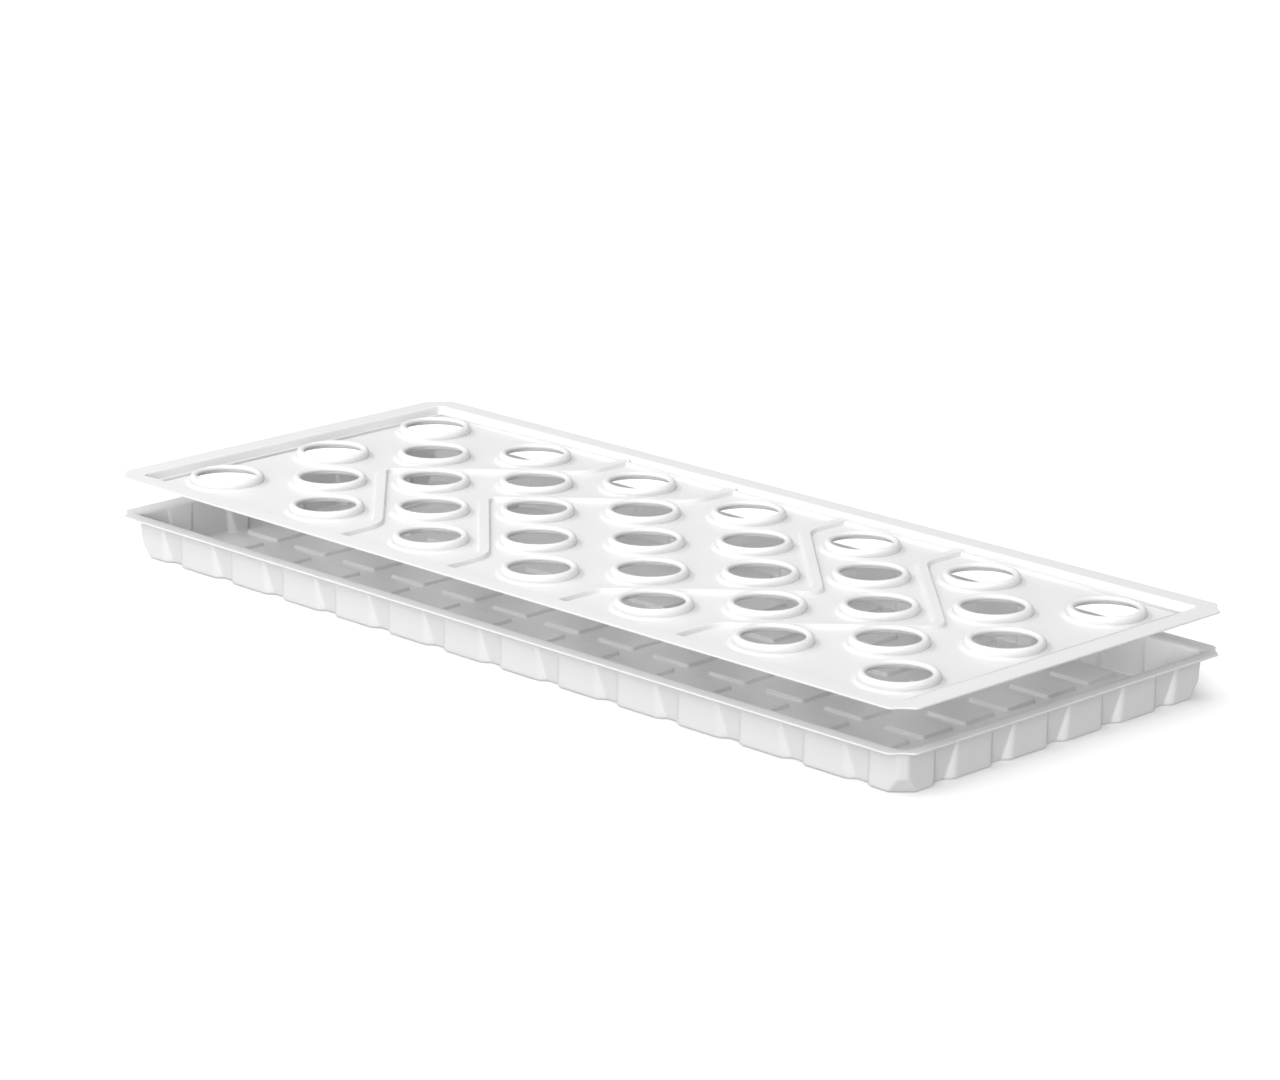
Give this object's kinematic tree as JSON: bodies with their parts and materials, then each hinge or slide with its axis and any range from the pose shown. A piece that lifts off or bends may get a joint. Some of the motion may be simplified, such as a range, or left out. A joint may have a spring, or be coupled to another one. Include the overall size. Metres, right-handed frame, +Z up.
{
  "type": "hydroponic growing tray with planting lid",
  "caption": "Long shallow fluted growing tray with a matching perforated planting lid of staggered raised-collar holes, lifted straight above its seat on the tray's rim.",
  "frame": {"origin": "on the ground under the centre of the tray", "axes": "+X along the long side, +Y across the tray from its front side to its back side, +Z up"},
  "size_m": [0.907, 0.382, 0.0735],
  "materials": {
    "tray_plastic": "satin",
    "lid_plastic": "satin"
  },
  "bodies": {
    "tray": {"tray": "tray_plastic"},
    "lid": {"lid": "lid_plastic"}
  },
  "joints": [
    {"name": "lid_lift", "type": "slide", "parent": "tray", "child": "lid", "axis": [0, 0, 1], "range_m": [-0.033, 0.15]}
  ]
}
